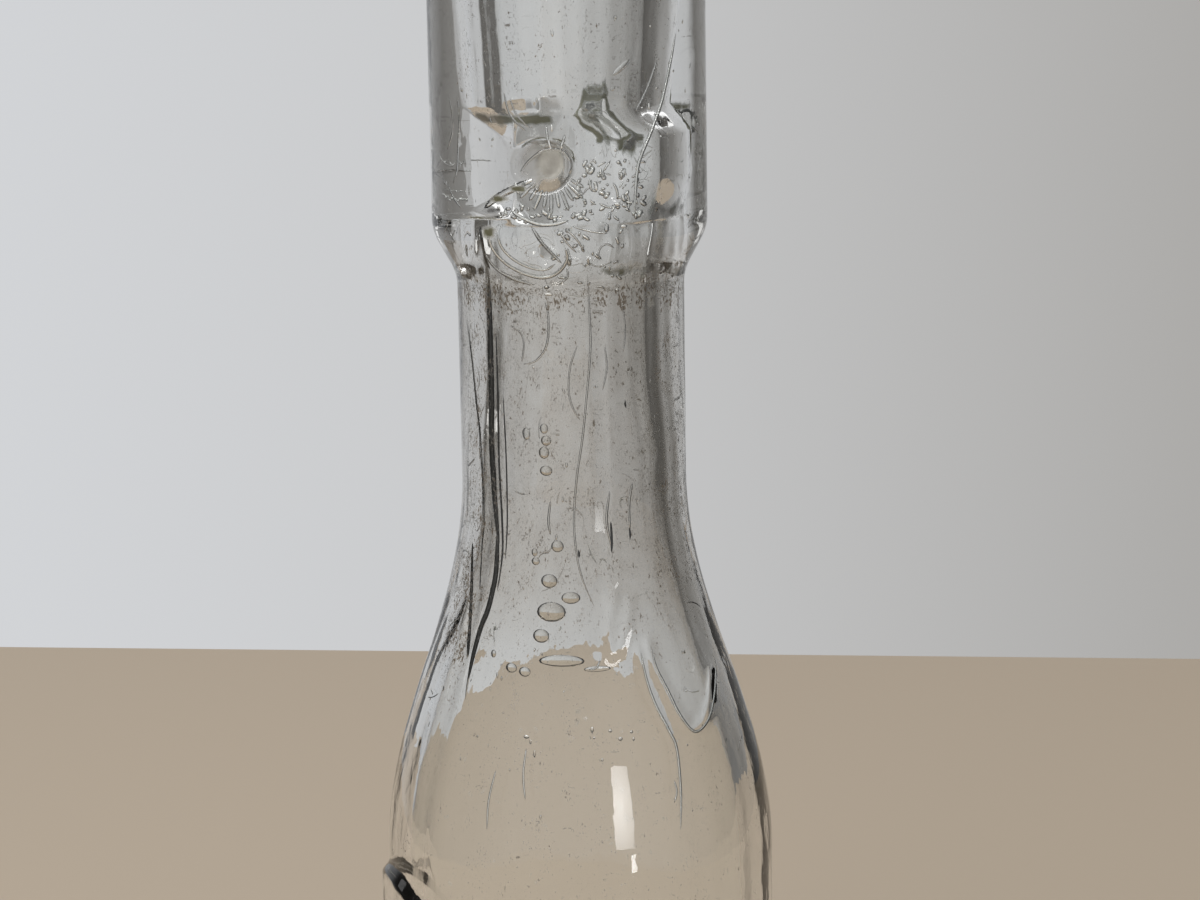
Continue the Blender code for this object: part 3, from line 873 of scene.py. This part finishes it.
def side_folds(draw):
    """Folds on the sides that the photograph doesn't show, mostly at the collar's foot."""
    found = []
    for _ in range(SIDE_FOLD_COUNT):
        azimuth = math.radians(draw.uniform(*SIDE_FOLD_AZIMUTHS))
        at_foot = draw.random() < AT_FOOT_SHARE
        height = draw.gauss(*FOOT_FOLD_HEIGHT) if at_foot else draw.uniform(*SIDE_FOLD_HEIGHTS)
        radius = outer_radius_at(height) - draw.uniform(*SIDE_FOLD_DEPTHS)
        turn = draw.uniform(0, math.pi)
        length = draw.uniform(*SIDE_FOLD_REACHES)
        bend = draw.uniform(*BEND_SHARES) * length
        places = []
        for share in np.linspace(-1, 1, SIDE_FOLD_POINTS):
            bow = bend * (1 - share * share)
            across = length * share * math.cos(turn) - bow * math.sin(turn)
            rise = length * share * math.sin(turn) + bow * math.cos(turn)
            places.append(on_glass(azimuth + across / radius, height + rise, radius))
        half_width = draw.uniform(*SIDE_FOLD_WIDTHS)
        found.append((*thread(places, half_width), draw.choice(SIDE_FOLD_GLINTS)))
    return found


def folds_of_air():
    draw = random.Random(41)
    return long_folds() + pleats() + crinkles(draw) + side_folds(draw)


def patch(azimuth, height, x, y, half_x, half_y):
    """1 in the middle of a spot of the photograph's front, falling to 0 outside it."""
    where, level, radius = photo_spot(x, y)
    across = wrapped(azimuth - where) * radius / (half_x * PIXEL)
    return np.exp(-(across**2 + ((height - level) / (half_y * PIXEL)) ** 2))


def added(shares, zones):
    """Zones added up, each by its own share."""
    return sum(share * zones[name] for name, share in shares.items())


def outer_wear(azimuth, height, radius):
    """Film, dirt, olive stain and frosting on the outside, each from 0 to 1."""
    neck = between(OUTER_NECK_ZONE, height)
    where, half = SHOULDER_SIDE
    zones = {
        "neck": neck,
        "collar": smoothstep(*COLLAR_ZONE, height),
        "foot": bell(height, *FOOT_DIRT),
        "left": side(azimuth, *LEFT_SIDE) * neck,
        "right": side(azimuth, *RIGHT_SIDE) * neck,
        "shoulder": bell(height, *SHOULDER_DIRT) * (np.abs(turn_from(azimuth, where)) < half),
    }
    olive = np.zeros(azimuth.shape)
    for x, y, half_x, half_y, strength in STAINS_PX:
        olive = np.maximum(olive, strength * patch(azimuth, height, x, y, half_x, half_y))
    frost = np.zeros(azimuth.shape)
    for dimple in (FRONT_DIMPLE, REAR_DIMPLE):
        reach = dimple_reach(azimuth, height, dimple)
        rough = falling(*DIMPLE_FLOOR_SHARES, reach) * (radius < COLLAR_RADIUS)
        lobe = falling(*DIMPLE_LOBE_SHARES, reach) * (turn_from(azimuth, dimple.azimuth + LOBE_TURN) > 0)
        frost = np.maximum(frost, dimple.frost_share * np.maximum(rough, LOBE_FROST_SHARE * lobe))
    rim = dimple_reach(azimuth, height, REAR_DIMPLE)
    olive = np.maximum(olive, bell(rim, *RIM_STAIN_SHARES))
    return added(OUTER_FILM, zones), np.clip(added(OUTER_DIRT, zones), 0, 1), olive, frost


def inner_wear(azimuth, height, radius):
    """Film, dirt, olive stain and crust on the inside, each from 0 to 1."""
    neck = between(INNER_NECK_ZONE, height)
    cup = smoothstep(*CUP_ZONE, height)
    sides = np.abs(np.sin(azimuth)) ** 6
    zones = {"neck": neck, "cup": cup, "neck_sides": neck * sides, "cup_sides": cup * sides}
    gaps = smoothstep(0.3, 1.0, waves(azimuth, height, STAIN_GAPS))
    bulb = 0.5 * bell(height, *BULB_STAIN) * gaps
    # Dirt has settled where the cup's floor bends into the throat, at the front left
    settled = bell(height, *SETTLED_DIRT) * smoothstep(0.05, 0.35, np.sin(azimuth))
    settled *= smoothstep(-0.1, 0.3, np.cos(azimuth))
    where, centre, half_width, half_height = REAR_CRUST
    across = turn_from(azimuth, where) * CRUST_RADIUS / half_width
    reach = np.hypot(across, (height - centre) / half_height)
    reach = reach * (1 + waves(azimuth, height, CRUST_EDGE))
    ring = bell(reach, *CRUST_RING_SHARES)
    patches = smoothstep(-0.2, 0.6, waves(azimuth, height, CRUST_PATCHES))
    crust = 0.55 * falling(*CRUST_FLOOR_SHARES, reach) * patches
    corner = 0.7 * bell(height, *CORNER_STAIN) * side(azimuth, *CORNER_SIDE)
    olive = np.maximum.reduce([bulb, settled, ring, corner])
    dirt = np.clip(added(INNER_DIRT, zones), 0, 1)
    return added(INNER_FILM, zones), dirt, np.clip(olive, 0, 1), np.clip(crust, 0, 1)


WEAR_NAMES = ("film", "dirt", "olive", "frost")


class Nodes:
    """A material and the kinds of node that all the materials here are made of."""

    def __init__(self, name):
        self.material = bpy.data.materials.new(name)
        self.material.use_nodes = True
        self.nodes = self.material.node_tree.nodes
        self.links = self.material.node_tree.links
        self.shader = self.nodes["Principled BSDF"]
        self.where = self.nodes.new("ShaderNodeTexCoord").outputs["Object"]

    def plug(self, value, socket):
        if isinstance(value, (int, float, tuple)):
            socket.default_value = value
        else:
            self.links.new(value, socket)

    def feed(self, name, value):
        self.plug(value, self.shader.inputs[name])

    def noise(self, scale, detail, stretch=(1, 1, 1)):
        mapping = self.nodes.new("ShaderNodeMapping")
        mapping.inputs["Scale"].default_value = stretch
        self.plug(self.where, mapping.inputs["Vector"])
        texture = self.nodes.new("ShaderNodeTexNoise")
        texture.inputs["Scale"].default_value = scale
        texture.inputs["Detail"].default_value = detail
        self.plug(mapping.outputs[0], texture.inputs["Vector"])
        return texture.outputs["Fac"]

    def calculate(self, operation, a, b):
        node = self.nodes.new("ShaderNodeMath")
        node.operation = operation
        self.plug(a, node.inputs[0])
        self.plug(b, node.inputs[1])
        return node.outputs[0]

    def total(self, *shares):
        """Values added up, each by its own share."""
        summed = 0.0
        for share, value in shares:
            summed = self.calculate("ADD", summed, self.calculate("MULTIPLY", value, share))
        return summed

    def ramp(self, value, low, high, start=0.0, end=1.0):
        node = self.nodes.new("ShaderNodeMapRange")
        limits = {"From Min": low, "From Max": high, "To Min": start, "To Max": end}
        for name, number in limits.items():
            node.inputs[name].default_value = number
        self.plug(value, node.inputs["Value"])
        return node.outputs[0]

    def blend(self, share, a, b):
        node = self.nodes.new("ShaderNodeMix")
        node.data_type = "RGBA"
        self.plug(share, node.inputs["Factor"])
        self.plug(a, node.inputs["A"])
        self.plug(b, node.inputs["B"])
        return node.outputs["Result"]

    def bump(self, height, distance, strength):
        node = self.nodes.new("ShaderNodeBump")
        node.inputs["Distance"].default_value = distance
        node.inputs["Strength"].default_value = strength
        self.plug(height, node.inputs["Height"])
        self.feed("Normal", node.outputs[0])


def glass_material():
    """Clear old glass with a film, specks of dirt, olive stains and rough dimples."""
    tools = Nodes("old_clear_glass")
    nodes = tools.nodes
    tools.feed("Transmission Weight", 1.0)
    tools.feed("IOR", 1.5)
    wear = {}
    for name in (*WEAR_NAMES, "glint", "marks_and_dark_reflection"):
        node = nodes.new("ShaderNodeAttribute")
        node.attribute_name = name
        wear[name] = node.outputs["Fac"]
    frost, glint, marks_and_dark_reflection = wear["frost"], wear["glint"], wear["marks_and_dark_reflection"]
    fine = tools.noise(2600, 2, (1, 1, 0.5))
    coarse = tools.noise(330, 4, (1, 1, 0.6))
    blotches = tools.noise(420, 5)
    specks = tools.ramp(tools.total((0.6, fine), (0.4, coarse), (0.13, wear["dirt"])), 0.635, 0.71)
    olive = tools.calculate("ADD", wear["olive"], tools.ramp(blotches, 0, 1, -0.8, 0.8))
    olive = tools.ramp(olive, 0.30, 0.80)
    film = tools.calculate("MULTIPLY", wear["film"], tools.ramp(coarse, 0.25, 0.75, 0.55, 1.25))
    colour = tools.blend(film, *GLASS_TONES)
    colour = tools.blend(specks, colour, SPECK)
    colour = tools.blend(olive, colour, STAIN)
    dimple = tools.blend(tools.ramp(blotches, 0.35, 0.62), *DIMPLE_TONES)
    colour = tools.blend(frost, colour, dimple)
    # Near-black folds: a painted dark reflection down the neck's left, and dark marks elsewhere
    colour = tools.blend(marks_and_dark_reflection, colour, MARKS_AND_DARK_REFLECTION)
    tools.feed("Base Color", tools.blend(glint, colour, GLINT))
    tools.feed("Metallic", glint)
    roughness = tools.total((0.35, specks), (0.5, frost), (0.4, olive), (0.03, film), (0.25, glint))
    tools.feed("Roughness", roughness)
    hidden = tools.total((0.35, specks), (0.70, frost), (0.75, olive), (1, glint), (1, marks_and_dark_reflection))
    tools.feed("Transmission Weight", tools.ramp(hidden, 0, 1, 1, 0))
    rough_floor = tools.calculate("MULTIPLY", frost, tools.noise(700, 3))
    swell = tools.calculate("ADD", tools.noise(120, 3, (1, 1, 0.5)), rough_floor)
    tools.bump(swell, 0.00025, 0.5)
    # Light passes through to what the bottle would shade
    clear = nodes.new("ShaderNodeBsdfTransparent")
    clear.inputs[0].default_value = GLASS_SHADOW
    path = nodes.new("ShaderNodeLightPath")
    both = nodes.new("ShaderNodeMixShader")
    tools.plug(path.outputs["Is Shadow Ray"], both.inputs[0])
    tools.plug(tools.shader.outputs[0], both.inputs[1])
    tools.plug(clear.outputs[0], both.inputs[2])
    tools.plug(both.outputs[0], nodes["Material Output"].inputs["Surface"])
    return tools.material


def paper_material(name, tones, roughness, coat):
    """Paper with fibres both ways, a blotchy age tone and brown flecks."""
    tools = Nodes(name)
    across = tools.noise(1500, 3, (1, 0.14, 1))
    down = tools.noise(1500, 3, (0.14, 1, 1))
    fibres = tools.calculate("MAXIMUM", across, down)
    cloud = tools.noise(130, 4)
    patches = tools.ramp(cloud, 0.38, 0.70, 0, 0.55)
    aged = tools.calculate("ADD", patches, tools.ramp(fibres, 0.50, 0.75, 0, 0.35))
    flecks = tools.ramp(tools.noise(1900, 2, (1, 0.6, 1)), 0.70, 0.76)
    tools.feed("Base Color", tools.blend(flecks, tools.blend(aged, *tones), FLECK))
    tools.feed("Roughness", tools.ramp(fibres, 0.35, 0.75, roughness, roughness + 0.18))
    tools.feed("Coat Weight", coat)
    tools.feed("Coat Roughness", 0.28)
    tools.bump(tools.total((1, fibres), (1.5, cloud)), 0.00006, 0.6)
    return tools.material


def wire_material():
    """Drawn steel wire with lengthwise scratches and a little rust."""
    tools = Nodes("drawn_wire")
    scratches = tools.noise(2600, 3, (0.12, 1, 1))
    rust = tools.ramp(tools.noise(900, 4), 0.56, 0.70)
    tools.feed("Base Color", tools.blend(rust, tools.blend(scratches, *STEEL_TONES), RUST))
    tools.feed("Metallic", tools.ramp(rust, 0, 1, 1, 0.25))
    rough = tools.ramp(scratches, 0.3, 0.7, 0.22, 0.38)
    tools.feed("Roughness", tools.total((1, rough), (0.4, rust)))
    tools.bump(scratches, 0.00002, 0.5)
    return tools.material


def glass_piece(name, points, faces, attributes, material):
    mesh = bpy.data.meshes.new(name)
    mesh.from_pydata(points.tolist(), [], faces)
    for attribute, values in attributes.items():
        mesh.attributes.new(attribute, "FLOAT", "POINT").data.foreach_set("value", values)
    mesh.shade_smooth()
    mesh.materials.append(material)
    return new_object(name, mesh)


def glass_bottle(material):
    """The bottle and its collar as one piece of glass, which is what the real ones are."""
    points, faces, wear = glass_mesh()
    attributes = dict(zip(WEAR_NAMES, wear))
    piece = glass_piece("glass_bottle", points, faces, attributes, material)
    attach(piece, "bottle")
    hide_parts("bottle_body", "applied_collar")


def trapped_air(material):
    """The bubbles and folds in the glass, as surfaces that look into their air."""
    verts, faces, glints, total = [], [], [], 0
    for points, hollow, glint in bubbles() + folds_of_air():
        faces += [tuple(i + total for i in face) for face in turned_to_air(points, hollow)]
        verts.append(points)
        glints += [glint] * len(points)
        total += len(points)
    # Folds with a glint below 0 turn near-black: a painted dark reflection down the neck's left, dark
    # marks elsewhere
    glints = np.array(glints)
    attributes = {"glint": np.maximum(glints, 0), "marks_and_dark_reflection": np.maximum(-glints, 0)}
    piece = glass_piece("trapped_air", np.concatenate(verts), faces, attributes, material)
    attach(piece, "bottle")


def camera():
    data = bpy.data.cameras.new("photo_camera")
    data.sensor_width = SENSOR_WIDTH
    data.lens = SENSOR_WIDTH * FOCAL_PIXELS / PHOTO_WIDTH
    data.clip_start = NEAR_CLIP
    piece = new_object("photo_camera", data)
    piece.location = camera_place()
    piece.rotation_euler = camera_turn().to_euler()
    bpy.context.scene.camera = piece


def ring_of_colour(nodes, links, table):
    """Colour by compass direction, from a table of directions with their grey and warmth."""
    where = nodes.new("ShaderNodeTexCoord")
    split = nodes.new("ShaderNodeSeparateXYZ")
    links.new(where.outputs["Generated"], split.inputs[0])
    turn = nodes.new("ShaderNodeMath")
    turn.operation = "ARCTAN2"
    links.new(split.outputs["X"], turn.inputs[0])
    links.new(split.outputs["Y"], turn.inputs[1])
    scale = nodes.new("ShaderNodeMapRange")
    scale.inputs["From Min"].default_value = -math.pi
    scale.inputs["From Max"].default_value = math.pi
    links.new(turn.outputs[0], scale.inputs["Value"])
    ramp = nodes.new("ShaderNodeValToRGB")
    links.new(scale.outputs[0], ramp.inputs[0])
    stops = ramp.color_ramp.elements
    while len(stops) < len(table):
        stops.new(0.5)
    for stop, (degrees, grey, warmth) in zip(stops, table):
        stop.position = (degrees + 180) / 360
        stop.color = (grey * (1 + warmth), grey, grey * (1 - 1.6 * warmth), 1)
    return ramp.outputs[0]


def world():
    """A pale room. The camera sees its wall, and the glass its darker corners too."""
    room = bpy.data.worlds.new("room")
    bpy.context.scene.world = room
    room.use_nodes = True
    nodes, links = room.node_tree.nodes, room.node_tree.links
    seen = ring_of_colour(nodes, links, SEEN_WALL)
    lit = ring_of_colour(nodes, links, LIT_WALL)
    path = nodes.new("ShaderNodeLightPath")
    choose = nodes.new("ShaderNodeMix")
    choose.data_type = "RGBA"
    links.new(path.outputs["Is Camera Ray"], choose.inputs["Factor"])
    links.new(lit, choose.inputs["A"])
    links.new(seen, choose.inputs["B"])
    links.new(choose.outputs["Result"], nodes["Background"].inputs["Color"])


def floor():
    """A plain pale floor, with a painted shadow close to the bottle that only shows through the glass.
    """
    mesh = bpy.data.meshes.new("floor")
    left, right, front, back = FLOOR_EDGES
    corners = [(left, front), (right, front), (right, back), (left, back)]
    mesh.from_pydata([(x, y, FLOOR_HEIGHT) for x, y in corners], [], [(0, 1, 2, 3)])
    piece = new_object("floor", mesh)
    piece.rotation_euler.z = math.radians(FLOOR_TURN)
    tools = Nodes("pale_floor")
    distance = tools.nodes.new("ShaderNodeVectorMath")
    distance.operation = "LENGTH"
    tools.plug(tools.where, distance.inputs[0])
    near = tools.ramp(distance.outputs["Value"], *FLOOR_SHADOW_RADII, 1, 0)
    through_glass = tools.nodes.new("ShaderNodeLightPath").outputs["Is Transmission Ray"]
    # A painted shadow under the bottle, which only rays through the glass see
    shade = tools.calculate("MULTIPLY", near, through_glass)
    tools.feed("Base Color", tools.blend(shade, *FLOOR_AND_SHADOW_TONES))
    tools.feed("Roughness", 0.7)
    mesh.materials.append(tools.material)


def lamps():
    """Soft rectangles that light and glint, and aren't themselves seen."""
    for name, azimuth, distance, middle, size, aim, power, spread, through_glass in LAMPS:
        data = bpy.data.lights.new(name, "AREA")
        data.shape = "RECTANGLE"
        data.size, data.size_y = size
        data.energy = power
        data.spread = math.radians(spread)
        piece = new_object(name, data)
        turn = math.radians(azimuth)
        place = Vector((-math.sin(turn) * distance, -math.cos(turn) * distance, middle))
        piece.location = place
        piece.rotation_euler = (Vector((0, 0, aim)) - place).to_track_quat("-Z", "Y").to_euler()
        piece.visible_camera = False
        piece.visible_transmission = through_glass


def light_paths():
    """Enough bounces for light to pass through both walls and the cup."""
    scene = bpy.context.scene
    scene.view_settings.view_transform = "Standard"
    scene.cycles.caustics_reflective = False
    scene.cycles.caustics_refractive = False
    scene.cycles.transmission_bounces = 24
    scene.cycles.max_bounces = 32
    scene.cycles.transparent_max_bounces = 24


def cap_materials():
    waxed = paper_material("waxed_paper", WAXED_TONES, roughness=0.42, coat=0.35)
    tab = paper_material("tab_paper", TAB_TONES, roughness=0.72, coat=0.0)
    wire = wire_material()
    for name, material in (
        ("cap_disc", waxed), ("tab_root", tab), ("cap_pull_tab", tab), ("tab_staple", wire),
    ):
        mesh = bpy.data.objects[name].data
        mesh.materials.clear()
        mesh.materials.append(material)


camera()
world()
floor()
lamps()
glass = glass_material()
glass_bottle(glass)
trapped_air(glass)
light_paths()
cap_materials()
